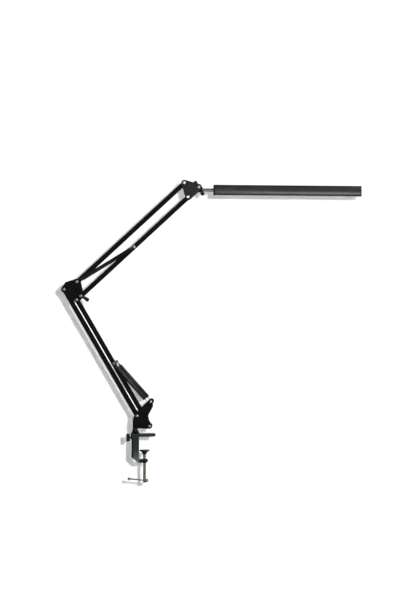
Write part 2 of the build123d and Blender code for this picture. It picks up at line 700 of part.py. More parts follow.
with BuildPart() as spring_lug:
    with BuildSketch(side_plane(lug_face)):
        with Locations(lower_bolt):
            Circle(LUG_ROOT_RADIUS)
        with Locations(lower_lug):
            Circle(LUG_TIP_RADIUS)
        make_hull()
    extrude(amount=LUG_THICKNESS)
    drill([lower_bolt], BOLT_RADIUS + RUNNING)
    with BuildSketch(bar_plane(lower_lug, 0, lower_seat)):
        Circle(BOLT_RADIUS)
    extrude(amount=lower_seat - lug_face)
    with BuildSketch(bar_plane(lower_lug, 0, lower_seat + BOLT_HEAD_HEIGHT)):
        Circle(BOLT_HEAD_RADIUS)
    extrude(amount=BOLT_HEAD_HEIGHT)
    lug_rim = spring_lug.edges().filter_by(GeomType.CIRCLE).group_by(Axis.Y)[-1]
    fillet(lug_rim, radius=BOLT_HEAD_ROUND)
save(spring_lug, "lower_spring_lug")


# Lamp head, built in a frame at the tilt pivot with its X along the stem
head_turn = math.radians(HEAD_ANGLE)
head_along = Vector(math.cos(head_turn), 0, math.sin(head_turn))
head_up = Vector(-math.sin(head_turn), 0, math.cos(head_turn))
pivot_centre = Vector(head_pivot[0], 0, head_pivot[1])
stem_centre = pivot_centre - head_up * STEM_DROP


def section_plane(distance):
    """A cross-section of the head, its X along +Y and its Y up, facing along the stem."""
    return Plane(origin=stem_centre + head_along * distance, x_dir=(0, 1, 0), z_dir=head_along)


with BuildPart() as knuckle:
    with BuildSketch(bar_plane(head_pivot, HEAD_ANGLE, KNUCKLE_WIDTH / 2)):
        Circle(KNUCKLE_RADIUS)
        with Locations((KNUCKLE_NOSE / 2, -STEM_DROP)):
            Rectangle(KNUCKLE_NOSE, 2 * (STEM_RADIUS + KNUCKLE_LIP))
        make_hull()
    extrude(amount=KNUCKLE_WIDTH)
    drill([head_pivot], BOLT_RADIUS + RUNNING)
    with BuildSketch(section_plane(STEM_START)):
        Circle(STEM_RADIUS)
    extrude(amount=KNUCKLE_NOSE, mode=Mode.SUBTRACT)
save(knuckle, "tilt_knuckle")

bar_front = BAR_START + INNER_CAP_LENGTH
bar_end = BAR_START + BAR_LENGTH
sleeve_front = bar_end - OUTER_CAP_LENGTH - OUTER_SLEEVE_LENGTH
housing_length = sleeve_front - bar_front

with BuildPart() as stem:
    with BuildSketch(section_plane(STEM_START)):
        Circle(STEM_RADIUS)
    extrude(amount=BAR_START - FACE - STEM_START)
    with BuildSketch(section_plane(BAR_START - FACE)):
        Circle(STEM_RADIUS / 2)
    extrude(amount=INNER_CAP_LENGTH)
save(stem, "stem")


side_radius = ((BAR_HEIGHT / 2) ** 2 + BAR_BULGE**2) / (2 * BAR_BULGE)
side_centre = side_radius - BAR_DEPTH / 2
groove_y = BAR_HEIGHT / 2 - GROOVE_DROP
groove_x = math.sqrt(side_radius**2 - groove_y**2) - side_centre


def bar_outline(section):
    """Outer section of the lamp bar with its swelling sides, added to the open sketch."""
    Rectangle(BAR_DEPTH, BAR_HEIGHT)
    for centre in (side_centre, -side_centre):
        with Locations((centre, 0)):
            Circle(side_radius, mode=Mode.INTERSECT)
    fillet(section.vertices(), radius=BAR_CORNER)


def bar_grooves():
    """Shadow grooves along both sides of the bar, cut from the open sketch."""
    with Locations((groove_x, groove_y), (-groove_x, groove_y)):
        Rectangle(2 * GROOVE_DEPTH, GROOVE_WIDTH, mode=Mode.SUBTRACT)


bar_bottom = -BAR_HEIGHT / 2
web_bottom = bar_bottom + LIGHT_RECESS_DEPTH
cavity_bottom = web_bottom + WEB_THICKNESS
cavity_height = BAR_HEIGHT / 2 - BAR_WALL - cavity_bottom

with BuildPart() as bar_housing:
    with BuildSketch(section_plane(bar_front)) as section:
        bar_outline(section)
        bar_grooves()
        with Locations((0, bar_bottom + LIGHT_RECESS_DEPTH / 2)):
            Rectangle(LIGHT_RECESS_WIDTH, LIGHT_RECESS_DEPTH, mode=Mode.SUBTRACT)
        with Locations((0, cavity_bottom + cavity_height / 2)):
            Rectangle(LIGHT_RECESS_WIDTH, cavity_height, mode=Mode.SUBTRACT)
    extrude(amount=housing_length)
save(bar_housing, "bar_housing")

with BuildPart() as inner_cap:
    with BuildSketch(section_plane(BAR_START)) as section:
        bar_outline(section)
        Circle(STEM_RADIUS / 2 + RUNNING, mode=Mode.SUBTRACT)
    extrude(amount=INNER_CAP_LENGTH)
save(inner_cap, "inner_end_cap")

with BuildPart() as outer_sleeve:
    with BuildSketch(section_plane(sleeve_front)) as section:
        bar_outline(section)
        bar_grooves()
        with Locations((0, bar_bottom + LIGHT_RECESS_DEPTH / 2)):
            Rectangle(LIGHT_RECESS_WIDTH, LIGHT_RECESS_DEPTH, mode=Mode.SUBTRACT)
    extrude(amount=OUTER_SLEEVE_LENGTH)
save(outer_sleeve, "outer_end_sleeve")

with BuildPart() as outer_cap:
    with BuildSketch(section_plane(bar_end - OUTER_CAP_LENGTH)) as section:
        bar_outline(section)
    extrude(amount=OUTER_CAP_LENGTH)
    with BuildSketch(section_plane(bar_end - OUTER_CAP_LENGTH / 2)):
        with Locations((0, groove_y)):
            Rectangle(2 * BAR_DEPTH, OUTER_CAP_SLOT)
    extrude(amount=OUTER_CAP_LENGTH, mode=Mode.SUBTRACT)
save(outer_cap, "outer_end_cap")

light_length = housing_length + OUTER_SLEEVE_LENGTH
with BuildPart() as diffuser:
    with BuildSketch(section_plane(bar_front)):
        with Locations((0, bar_bottom + DIFFUSER_THICKNESS / 2)):
            Rectangle(LIGHT_RECESS_WIDTH, DIFFUSER_THICKNESS)
    extrude(amount=light_length)
save(diffuser, "diffuser")

with BuildPart() as led_board:
    with BuildSketch(section_plane(bar_front)):
        with Locations((0, web_bottom - BOARD_THICKNESS / 2)):
            Rectangle(BOARD_WIDTH, BOARD_THICKNESS)
    extrude(amount=housing_length)
save(led_board, "led_board")

chip_step = housing_length / CHIP_COUNT
with BuildPart() as led_chips:
    for index in range(CHIP_COUNT):
        with BuildSketch(section_plane(bar_front + (index + 0.5) * chip_step - CHIP_SIZE / 2)):
            with Locations((0, web_bottom - BOARD_THICKNESS - CHIP_HEIGHT / 2)):
                Rectangle(CHIP_SIZE, CHIP_HEIGHT)
        extrude(amount=CHIP_SIZE)
save(led_chips, "led_chips")
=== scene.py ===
import json
import math

import bmesh
import bpy
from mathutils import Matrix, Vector


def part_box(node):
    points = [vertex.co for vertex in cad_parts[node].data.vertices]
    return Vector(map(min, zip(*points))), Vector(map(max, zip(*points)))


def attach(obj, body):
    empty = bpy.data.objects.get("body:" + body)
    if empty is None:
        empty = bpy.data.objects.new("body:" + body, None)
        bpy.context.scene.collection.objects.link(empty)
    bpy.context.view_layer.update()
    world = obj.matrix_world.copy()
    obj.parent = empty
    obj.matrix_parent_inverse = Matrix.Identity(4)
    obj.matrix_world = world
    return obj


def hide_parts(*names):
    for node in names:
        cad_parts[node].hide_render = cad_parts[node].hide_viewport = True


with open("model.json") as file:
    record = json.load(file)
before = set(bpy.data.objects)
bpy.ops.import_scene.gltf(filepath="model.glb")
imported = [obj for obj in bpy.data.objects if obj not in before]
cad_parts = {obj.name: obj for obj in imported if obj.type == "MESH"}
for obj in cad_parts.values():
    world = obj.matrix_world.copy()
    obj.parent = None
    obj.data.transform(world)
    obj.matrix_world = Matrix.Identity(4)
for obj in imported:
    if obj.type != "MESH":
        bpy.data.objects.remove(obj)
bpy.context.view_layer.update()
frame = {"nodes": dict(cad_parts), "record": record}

# The swing-arm lamp, dressed round its CAD frame. Shapes are in millimetres until a mesh is made,
# and the stage, the camera and the lights are in metres.
MM = 0.001

X = Vector((1, 0, 0))
Y = Vector((0, 1, 0))
Z = Vector((0, 0, 1))

node_slot = {row["node"]: row["material_slot"] for row in frame["record"]["subparts"]}
node_body = {
    node: body for body, nodes in frame["record"]["behaviour"]["bodies"].items() for node in nodes
}


# Shader node helpers
def feed(tree, value, socket):
    """Links a socket to another one, or sets it to a plain number."""
    if isinstance(value, bpy.types.NodeSocket):
        tree.links.new(value, socket)
    else:
        socket.default_value = value


def ranged(tree, value, span, levels=(0.0, 1.0), smooth=False):
    """A value that runs between two levels over a span, and is held beyond it."""
    made = tree.nodes.new("ShaderNodeMapRange")
    if smooth:
        made.interpolation_type = "SMOOTHSTEP"
    names = ("Value", "From Min", "From Max", "To Min", "To Max")
    for name, entry in zip(names, (value, *span, *levels)):
        feed(tree, entry, made.inputs[name])
    return made.outputs["Result"]


def worked(tree, operation, *values):
    """The result of a math operation on values."""
    made = tree.nodes.new("ShaderNodeMath")
    made.operation = operation
    for value, socket in zip(values, made.inputs):
        feed(tree, value, socket)
    return made.outputs["Value"]


def between(tree, share, low, high):
    """A value that share takes from low to high."""
    made = tree.nodes.new("ShaderNodeMix")
    made.data_type = "FLOAT"
    for index, value in ((0, share), (2, low), (3, high)):
        feed(tree, value, made.inputs[index])
    return made.outputs[0]


def noise(tree, vector, scale, detail):
    """A noise over a vector, with its scale per metre."""
    made = tree.nodes.new("ShaderNodeTexNoise")
    made.inputs["Scale"].default_value = scale
    made.inputs["Detail"].default_value = detail
    tree.links.new(vector, made.inputs["Vector"])
    return made.outputs["Fac"]


# Materials
COARSE_DETAIL = 4.0
FINE_DETAIL = 2.0
COLOUR_SPAN = (0.34, 0.66)  # the middle of the coarse noise, which runs from the dark to the light colour
GLOSS_SPAN = (0.3, 0.7)     # the middle of the fine noise, which runs over the roughness


def finish(name, dark, light, gloss, grain, relief, stretch=(1, 1, 1), **plain):
    """A procedural finish in object space, which moves with its piece.

    dark and light are the ends of its colour, gloss the ends of its roughness, grain
    the scales of its coarse and fine noise per metre, and relief the depth in millimetres
    of the bumps that the fine noise makes. The rest are values that are the same all over.
    """
    made = bpy.data.materials.new(name)
    made.use_nodes = True
    tree = made.node_tree
    shader = tree.nodes["Principled BSDF"]
    for socket, value in plain.items():
        shader.inputs[socket.replace("_", " ")].default_value = value
    place = tree.nodes.new("ShaderNodeTexCoord")
    mapping = tree.nodes.new("ShaderNodeMapping")
    mapping.inputs["Scale"].default_value = stretch
    tree.links.new(place.outputs["Object"], mapping.inputs["Vector"])
    coarse = noise(tree, mapping.outputs["Vector"], grain[0], COARSE_DETAIL)
    fine = noise(tree, mapping.outputs["Vector"], grain[1], FINE_DETAIL)
    ramp = tree.nodes.new("ShaderNodeValToRGB")
    for element, position, colour in zip(ramp.color_ramp.elements, COLOUR_SPAN, (dark, light)):
        element.position = position
        element.color = (*colour, 1)
    tree.links.new(coarse, ramp.inputs["Fac"])
    tree.links.new(ramp.outputs["Color"], shader.inputs["Base Color"])
    tree.links.new(ranged(tree, fine, GLOSS_SPAN, gloss), shader.inputs["Roughness"])
    bump = tree.nodes.new("ShaderNodeBump")
    bump.inputs["Strength"].default_value = 1.0
    bump.inputs["Distance"].default_value = relief * MM
    tree.links.new(fine, bump.inputs["Height"])
    tree.links.new(bump.outputs["Normal"], shader.inputs["Normal"])
    return made


finishes = {
    "black_paint": finish(
        "satin_black_paint", (0.0022, 0.0022, 0.0024), (0.0042, 0.0042, 0.0044),
        (0.32, 0.46), (45, 1100), 0.02, Specular_IOR_Level=0.05),
    "cast_paint": finish(
        "cast_clamp_paint", (0.002, 0.0026, 0.003), (0.0035, 0.0042, 0.0046),
        (0.10, 0.13), (80, 700), 0.002, Specular_IOR_Level=0.4, Specular_Tint=(0.86, 0.96, 1.0, 1.0)),
    # Head plates: the black paint made lighter, painted light where the head catches more light than the arm
    "head_paint_with_painted_light": finish(
        "black_paint_painted_lighter", (0.010, 0.0108, 0.010), (0.016, 0.0168, 0.016),
        (0.32, 0.46), (45, 1100), 0.02, Specular_IOR_Level=0.1),
    "black_plastic": finish(
        "black_moulded_plastic", (0.003, 0.003, 0.003), (0.006, 0.006, 0.006),
        (0.40, 0.56), (60, 1800), 0.05, Specular_IOR_Level=0.2),
    "sleeve_black": finish(
        "dark_sleeve_plastic", (0.005, 0.005, 0.0055), (0.009, 0.009, 0.0095),
        (0.24, 0.34), (70, 1500), 0.03, Specular_IOR_Level=0.4),
    "bright_steel": finish(
        "bright_steel", (0.74, 0.71, 0.63), (0.88, 0.86, 0.80),
        (0.20, 0.30), (160, 2600), 0.002, Metallic=1.0),
    # Bolts off the head: a darker, yellower copy of the bright steel, painted shade where they catch less
    # light
    "bolt_steel_painted_shade": finish(
        "darker_yellow_steel_painted_shade", (0.40, 0.37, 0.26), (0.56, 0.525, 0.41),
        (0.20, 0.30), (160, 2600), 0.002, Metallic=1.0),
    # Lower spring bolt: a darker, browner copy of the bolt steel, painted shade
    "brown_steel_painted_shade": finish(
        "darker_brown_steel_painted_shade", (0.22, 0.15, 0.11), (0.34, 0.25, 0.19),
        (0.22, 0.34), (160, 2600), 0.002, Metallic=1.0),
    "spring_steel": finish(
        "drawn_spring_wire", (0.10, 0.10, 0.098), (0.18, 0.18, 0.175),
        (0.24, 0.36), (200, 3000), 0.003, Metallic=1.0),
    "zinc_steel": finish(
        "zinc_plated_steel", (0.34, 0.335, 0.265), (0.50, 0.49, 0.405),
        (0.24, 0.40), (240, 1600), 0.006, Metallic=1.0),
    "cup_steel": finish(
        "dark_pressed_steel", (0.07, 0.066, 0.052), (0.15, 0.142, 0.115),
        (0.24, 0.42), (180, 1500), 0.02, Metallic=1.0),
    "tab_steel": finish(
        "dull_tab_steel", (0.20, 0.20, 0.195), (0.30, 0.30, 0.29),
        (0.34, 0.50), (150, 2000), 0.02, Metallic=1.0),
    "chrome": finish(
        "chromed_stem", (0.40, 0.365, 0.34), (0.50, 0.465, 0.435),
        (0.08, 0.14), (90, 2200), 0.002, Metallic=1.0),
    "grey_aluminium": finish(
        "anodised_aluminium", (0.040, 0.040, 0.043), (0.045, 0.045, 0.048),
        (0.22, 0.25), (14, 900), 0.0006, stretch=(0.02, 1, 1), Metallic=0.85),
    "diffuser": finish(
        "opal_diffuser", (0.80, 0.80, 0.78), (0.87, 0.87, 0.85),
        (0.40, 0.52), (30, 1500), 0.02, Transmission_Weight=0.35, IOR=1.49),
    "circuit_board": finish(
        "white_solder_mask", (0.72, 0.73, 0.71), (0.82, 0.82, 0.80),
        (0.30, 0.42), (120, 900), 0.03),
    "led": finish(
        "led_phosphor", (0.72, 0.60, 0.16), (0.86, 0.76, 0.30),
        (0.28, 0.40), (400, 2500), 0.03),
}
# Nodes whose finish differs from the rest of their slot
own_finish = {
    "clamp_body": "cast_paint",
    "pressure_pad": "cup_steel",
    "lower_spring_lug": "tab_steel",
    "lower_spring_bushes": "tab_steel",
    # Painted shade: these bolts take a darker copy of the steel
    "base_bolts": "bolt_steel_painted_shade",
    "elbow_bolts": "bolt_steel_painted_shade",
    "elbow_clamp_bolt": "bolt_steel_painted_shade",
    "upper_spring_bolt": "bolt_steel_painted_shade",
    "tilt_bolt": "bolt_steel_painted_shade",
    # Painted shade: a darker, browner copy of the bolt steel
    "lower_spring_bolt": "brown_steel_painted_shade",
    # Painted light: the head plates take a lighter copy of the black paint
    "head_plate_front": "head_paint_with_painted_light",
    "head_plate_rear": "head_paint_with_painted_light",
    "upper_sleeves": "black_plastic",
}


def finish_for(node):
    """The finish of a node: its own, or its slot's."""
    return finishes[own_finish.get(node, node_slot[node])]


# Mesh helpers
WELD = 0.01                 # vertices closer than this are one
FLAT_ANGLE = 0.4            # degrees, faces flatter than this are merged
SHARP_ANGLE = 32.0          # degrees, edges sharper than this are rounded
SMOOTH_ANGLE = 38.0         # degrees, edges sharper than this stay crisp in shading
ROUND_PROFILE = 0.5         # a bevel's section is part of a circle
FACE_WEIGHT = 100           # how far large faces rule the shading


def welded(node):
    """A working copy of a CAD node with its seams closed."""
    work = bmesh.new()
    work.from_mesh(frame["nodes"][node].data)
    bmesh.ops.remove_doubles(work, verts=work.verts, dist=WELD * MM)
    return work


def merged(node):
    """A working copy of a CAD node in which each flat area is one face."""
    work = welded(node)
    bmesh.ops.dissolve_limit(
        work, angle_limit=math.radians(FLAT_ANGLE), verts=work.verts, edges=work.edges)
    return work


def gathered(shapes, scale):
    """Shapes of (vertices, faces) in one working mesh, with its faces turned outwards."""
    work = bmesh.new()
    for vertices, faces in shapes:
        corners = [work.verts.new(Vector(vertex) * scale) for vertex in vertices]
        for face in faces:
            work.faces.new([corners[index] for index in face])
    bmesh.ops.recalc_face_normals(work, faces=work.faces)
    return work


def mesh_from(name, work):
    """A mesh from a working one, which is then freed."""
    mesh = bpy.data.meshes.new(name)
    work.to_mesh(mesh)
    work.free()
    return mesh


def mesh_of(name, shapes):
    """One mesh, in metres, from shapes in millimetres."""
    return mesh_from(name, gathered(shapes, MM))


def settle(name, mesh, node):
    """Makes a mesh the piece that stands for a CAD node: on its body, with the node's finish, and the node
    hidden.
    """
    mesh.materials.clear()
    mesh.materials.append(finish_for(node))
    mesh.shade_smooth()
    mesh.set_sharp_from_angle(angle=math.radians(SMOOTH_ANGLE))
    piece = bpy.data.objects.new(name, mesh)
    bpy.context.scene.collection.objects.link(piece)
    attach(piece, node_body[node])
    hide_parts(node)
    return piece


def steady(piece):
    """Sets a piece's shading by its large faces, so that they stay flat beside rounded edges."""
    modifier = piece.modifiers.new("steady", "WEIGHTED_NORMAL")
    modifier.weight = FACE_WEIGHT
    modifier.keep_sharp = True
    graph = bpy.context.evaluated_depsgraph_get()
    mesh = bpy.data.meshes.new_from_object(piece.evaluated_get(graph))
    piece.modifiers.clear()
    piece.data = mesh


def dress(node, width, segments=2):
    """A copy of a CAD node with its sharp edges rounded, in place of the node."""
    work = merged(node)
    sharp = [
        edge for edge in work.edges
        if len(edge.link_faces) == 2 and edge.calc_face_angle() > math.radians(SHARP_ANGLE)
    ]
    bmesh.ops.bevel(
        work, geom=sharp, offset=width * MM, offset_type="OFFSET", segments=segments,
        profile=ROUND_PROFILE, affect="EDGES", clamp_overlap=True)
    piece = settle(node + "_dressed", mesh_from(node + "_dressed", work), node)
    steady(piece)
    return piece


def islands(node):
    """The box of each separate solid in a CAD node, as low and high corners in millimetres."""
    work = welded(node)
    left = set(work.verts)
    boxes = []
    while left:
        front = [left.pop()]
        found = []
        while front:
            vertex = front.pop()
            found.append(vertex.co / MM)
            for edge in vertex.link_edges:
                other = edge.other_vert(vertex)
                if other in left:
                    left.discard(other)
                    front.append(other)
        low = Vector(min(place[axis] for place in found) for axis in range(3))
        high = Vector(max(place[axis] for place in found) for axis in range(3))
        boxes.append((low, high))
    work.free()
    return sorted(boxes, key=lambda box: (round(box[0].x, 3), round(box[0].y, 3)))


def at_turn(value, turn):
    """A number as it is, or a function's value at a turn."""
    return value(turn) if callable(value) else value


def lathe(profile, steps, closed=False):
    """A profile of (radius, height) turned round Z, each a number or a function of the turn.

    A closed profile ends where it starts, as a ring's does.
    """
    vertices = []
    rings = []
    for radius, height in profile:
        if radius == 0:
            rings.append([len(vertices)])
            vertices.append((0, 0, height))
            continue
        ring = []
        for step in range(steps):
            turn = 2 * math.pi * step / steps
            reach = at_turn(radius, turn)
            ring.append(len(vertices))
            vertices.append((reach * math.cos(turn), reach * math.sin(turn), at_turn(height, turn)))
        rings.append(ring)
    pairs = list(zip(rings, rings[1:]))
    if closed:
        pairs.append((rings[-1], rings[0]))
    faces = []
    for low, high in pairs:
        for step in range(steps):
            after = (step + 1) % steps
            corners = (
                low[step % len(low)], low[after % len(low)],
                high[after % len(high)], high[step % len(high)],
            )
            faces.append(list(dict.fromkeys(corners)))
    return vertices, faces


def placed(shape, origin, x_axis, y_axis, z_axis):
    """A shape moved so that its own axes lie along the given ones."""
    vertices, faces = shape
    moved = [origin + x_axis * x + y_axis * y + z_axis * z for x, y, z in vertices]
    return moved, faces


def arc(centre, radius, start, end, count):
    """Points on an arc in a profile, with angles in degrees."""
    turns = [math.radians(start + (end - start) * index / count) for index in range(count + 1)]
    return [(centre[0] + radius * math.cos(turn), centre[1] + radius * math.sin(turn)) for turn in turns]


def wire(points, radius, sides):
    """A round wire along points, closed at both ends."""
    vertices = []
    faces = []
    last = len(points) - 1
    normal = None
    for index, point in enumerate(points):
        tangent = (points[min(index + 1, last)] - points[max(index - 1, 0)]).normalized()
        if normal is None:
            normal = tangent.orthogonal()
        normal = (normal - tangent * normal.dot(tangent)).normalized()
        binormal = tangent.cross(normal)
        for side in range(sides):
            turn = 2 * math.pi * side / sides
            vertices.append(point + radius * (normal * math.cos(turn) + binormal * math.sin(turn)))
    for index in range(last):
        for side in range(sides):
            after = (side + 1) % sides
            row = index * sides
            faces.append((row + side, row + after, row + sides + after, row + sides + side))
    faces.append(tuple(range(sides)))
    faces.append(tuple(last * sides + side for side in range(sides)))
    return vertices, faces


def cut(shape, cutter):
    """A shape with another cut out of it, both as (vertices, faces)."""
    pair = []
    for name, part in (("cut_body", shape), ("cut_tool", cutter)):
        pair.append(bpy.data.objects.new(name, mesh_from(name, gathered([part], 1))))
        bpy.context.scene.collection.objects.link(pair[-1])
    body, tool = pair
    modifier = body.modifiers.new("cut", "BOOLEAN")
    modifier.object = tool
    modifier.operation = "DIFFERENCE"
    modifier.solver = "EXACT"
    graph = bpy.context.evaluated_depsgraph_get()
    result = bpy.data.meshes.new_from_object(body.evaluated_get(graph))
    vertices = [tuple(vertex.co) for vertex in result.vertices]
    faces = [tuple(polygon.vertices) for polygon in result.polygons]
    for piece in pair:
        mesh = piece.data
        bpy.data.objects.remove(piece)
        bpy.data.meshes.remove(mesh)
    bpy.data.meshes.remove(result)
    return vertices, faces


# Bolts: pan heads with a cross recess, on the front of the arm
BOLT_RADIUS = 2.0
BOLT_STEPS = 40
TIP_CHAMFER = 0.5
HEAD_RADIUS = 4.4
HEAD_HEIGHT = 2.4
HEAD_ROUND = 1.9            # radius of the head's edge
HEAD_ARC = (0, 78, 7)       # start and end of that edge in degrees, and its steps
HEAD_FLAT = 0.6             # breadth of the ring inside the edge
HEAD_CROWN = 0.01           # rise from that ring to the middle
RECESS_DEPTH = 1.3
RECESS_WIDTH = 1.05
RECESS_SPAN = 5.0
RECESS_TAPER = 0.62         # size of the recess at its floor
# Degrees that each bolt's recess is turned
RECESS_TURNS = {
    "base_bolts": (20, 65),
    "elbow_bolts": (35, 80, 10),
    "elbow_clamp_bolt": (50,),
    "head_bolts": (15, 70),
    "tilt_bolt": (40,),
    "lower_spring_bolt": (5,),
    "upper_spring_bolt": (60,),
}


def cross_tool():
    """A tapering cross that stands through the top of a bolt head."""
    half = RECESS_SPAN / 2
    side = RECESS_WIDTH / 2
    outline = [
        (half, side), (side, side), (side, half), (-side, half), (-side, side), (-half, side),
        (-half, -side), (-side, -side), (-side, -half), (side, -half), (side, -side), (half, -side),
    ]
    count = len(outline)
    vertices = [(x * RECESS_TAPER, y * RECESS_TAPER, HEAD_HEIGHT - RECESS_DEPTH) for x, y in outline]
    vertices += [(x, y, HEAD_HEIGHT + RECESS_DEPTH) for x, y in outline]
    faces = [tuple(range(count)), tuple(range(count, 2 * count))]
    for index in range(count):
        after = (index + 1) % count
        faces.append((index, after, count + after, count + index))
    return vertices, faces


head_inner = HEAD_RADIUS - HEAD_ROUND
head_profile = [(0, 0), (HEAD_RADIUS, 0)]
head_profile += arc((head_inner, HEAD_HEIGHT - HEAD_ROUND), HEAD_ROUND, *HEAD_ARC)
head_profile += [(head_inner - HEAD_FLAT, HEAD_HEIGHT - HEAD_CROWN), (0, HEAD_HEIGHT)]
bolt_head = cut(lathe(head_profile, BOLT_STEPS), cross_tool())


def bolt_shank(length):
    """A plain shank with a chamfered tip, down from the head's seat."""
    profile = [
        (0, -length), (BOLT_RADIUS - TIP_CHAMFER, -length), (BOLT_RADIUS, TIP_CHAMFER - length),
        (BOLT_RADIUS, 0), (0, 0),
    ]
    return lathe(profile, BOLT_STEPS)


for node, turns in RECESS_TURNS.items():
    shapes = []
    for (low, high), turn in zip(islands(node), turns):
        centre = (low + high) / 2
        seat = Vector((centre.x, low.y + HEAD_HEIGHT, centre.z))
        angle = math.radians(turn)
        across = X * math.cos(angle) + Z * math.sin(angle)
        upright = Z * math.cos(angle) - X * math.sin(angle)
        for shape in (bolt_head, bolt_shank(high.y - seat.y)):
            shapes.append(placed(shape, seat, across, upright, -Y))
    settle(node + "_cross_head", mesh_of(node, shapes), node)

# Nuts: hexagons with chamfered corners, on the rear
NUT_RADIUS = 4.6            # to its corners
NUT_APOTHEM = NUT_RADIUS * math.cos(math.pi / 6)
NUT_BORE = 2.06
NUT_CHAMFER = 0.3           # at the bore's outer end
NUT_FLAT_INSET = 0.15       # from a side to the flat of the end face
NUT_SLOPE = math.tan(math.radians(27))
NUT_STEPS = 48


def hexagon(turn):
    """Distance from a nut's centre to its side."""
    return NUT_APOTHEM / math.cos(turn % (math.pi / 3) - math.pi / 6)


def nut(height):
    """A nut along its own Z, with its seat at 0."""
    flat = NUT_APOTHEM - NUT_FLAT_INSET
    profile = [
        (NUT_BORE, 0),
        (hexagon, 0),
        (hexagon, lambda turn: height - (hexagon(turn) - flat) * NUT_SLOPE),
        (flat, height),
        (NUT_BORE + NUT_CHAMFER, height),
        (NUT_BORE, height - NUT_CHAMFER),
    ]
    return lathe(profile, NUT_STEPS, closed=True)


for node in ("base_nuts", "elbow_nuts", "head_nuts", "lower_spring_nut", "upper_spring_nut"):
    shapes = []
    for low, high in islands(node):
        centre = (low + high) / 2
        seat = Vector((centre.x, low.y, centre.z))
        shapes.append(placed(nut(high.y - low.y), seat, X, -Z, Y))
    settle(node + "_hexagon", mesh_of(node, shapes), node)

# Clamp screw: a rolled thread with a plain end for the tommy bar
SCREW_RADIUS = 4.0
SCREW_ROOT = 3.36
SCREW_STEPS = 40
SCREW_TIP = 3.0             # radius of the tip, inside the pressure pad
SCREW_TIP_LENGTH = 6.4
SCREW_END = ((1.2, 0), (0.3, 0.4), (0, 1.1))  # set back and height of the rounded end's points
PLAIN_END = 11.5            # height at which the thread starts
THREAD_PITCH = 1.25
THREAD_ROWS = 8             # rows of vertices in each turn of the thread
THREAD_FADE = 2             # turns over which the thread deepens
THREAD_STOP = 0.4           # least gap from the last row to the tip's shoulder
RIDGE_PEAK = 1.55           # the ridge's height before it is cut to 1 for its flat crest
RIDGE_SLOPE = 3.1
BAR_RISE = 6.0              # height of the hole for the tommy bar
BAR_HOLE = 1.96             # radius of that hole
BAR_YAW = -40.0
DRILL_REACH = 9
DRILL_STEPS = 28

screw_low, screw_high = (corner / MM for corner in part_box("clamp_screw"))
screw_y = (screw_low.y + screw_high.y) / 2
screw_top = screw_high.z - SCREW_TIP_LENGTH - screw_low.z


def thread(height, fade):
    """Radius of the thread at a height, as a function of the turn."""
    def radius(turn):
        phase = (height / THREAD_PITCH - turn / (2 * math.pi)) % 1
        ridge = min(1, max(0, RIDGE_PEAK - RIDGE_SLOPE * abs(phase - 0.5)))
        return SCREW_RADIUS - (SCREW_RADIUS - SCREW_ROOT) * (1 - ridge) * fade
    return radius


screw_profile = [(0, 0)] + [(SCREW_RADIUS - back, height) for back, height in SCREW_END]
screw_profile.append((SCREW_RADIUS, PLAIN_END))
row_height = THREAD_PITCH / THREAD_ROWS
row_count = int((screw_top - THREAD_STOP - PLAIN_END) / row_height)
for row in range(1, row_count + 1):
    height = PLAIN_END + row * row_height
    screw_profile.append((thread(height, min(1, row / (THREAD_FADE * THREAD_ROWS))), height))
screw_profile += [(SCREW_ROOT, screw_top), (SCREW_TIP, screw_top)]
screw_profile += [(SCREW_TIP, screw_top + SCREW_TIP_LENGTH), (0, screw_top + SCREW_TIP_LENGTH)]
bar_turn = math.radians(BAR_YAW)
bar_along = X * math.cos(bar_turn) + Y * math.sin(bar_turn)
bar_across = Y * math.cos(bar_turn) - X * math.sin(bar_turn)
drill_profile = [(0, -DRILL_REACH), (BAR_HOLE, -DRILL_REACH), (BAR_HOLE, DRILL_REACH), (0, DRILL_REACH)]
drill = placed(lathe(drill_profile, DRILL_STEPS), Vector((0, 0, BAR_RISE)), bar_across, Z, bar_along)
screw_shape = cut(lathe(screw_profile, SCREW_STEPS), drill)
screw_shape = placed(screw_shape, Vector((0, screw_y, screw_low.z)), X, Y, Z)
settle("clamp_screw_threaded", mesh_of("clamp_screw", [screw_shape]), "clamp_screw")

# Pressure pad: a pressed cup with a rolled rim and a ringed face
PAD_STEPS = 64
PAD_PLAY = 0.06             # round the screw's tip
# Radius and height of the cup's outside, from its neck up
PAD_SIDE = ((5.2, 0), (5.6, 0.5), (5.8, 2.2), (6.6, 3.6), (8.4, 5.2), (10.8, 6.8), (12.8, 7.9))
PAD_RIM = 1.1               # radius of the rolled rim
PAD_RIM_ARC = (-60, 90, 8)  # its start and end in degrees, and its steps
PAD_RINGS = (11.4, 8.6, 5.8)
RING_HALF = 0.5             # half of a ring's breadth at the face
RING_FLOOR = 0.25           # and at its floor
RING_DEPTH = 0.4

pad_low, pad_high = (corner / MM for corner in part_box("pressure_pad"))
pad_radius = (pad_high.x - pad_low.x) / 2
pad_height = pad_high.z - pad_low.z
pad_bore = SCREW_TIP + PAD_PLAY
pad_profile = [(0, SCREW_TIP_LENGTH), (pad_bore, SCREW_TIP_LENGTH), (pad_bore, 0), *PAD_SIDE]
pad_profile += arc((pad_radius - PAD_RIM, pad_height - PAD_RIM), PAD_RIM, *PAD_RIM_ARC)
for ring in PAD_RINGS:
    pad_profile += [
        (ring + RING_HALF, pad_height), (ring + RING_FLOOR, pad_height - RING_DEPTH),
        (ring - RING_FLOOR, pad_height - RING_DEPTH), (ring - RING_HALF, pad_height),
    ]
pad_profile.append((0, pad_height))
pad_shape = placed(lathe(pad_profile, PAD_STEPS), Vector((0, screw_y, pad_low.z)), X, Y, Z)
settle("pressure_pad_cup", mesh_of("pressure_pad", [pad_shape]), "pressure_pad")

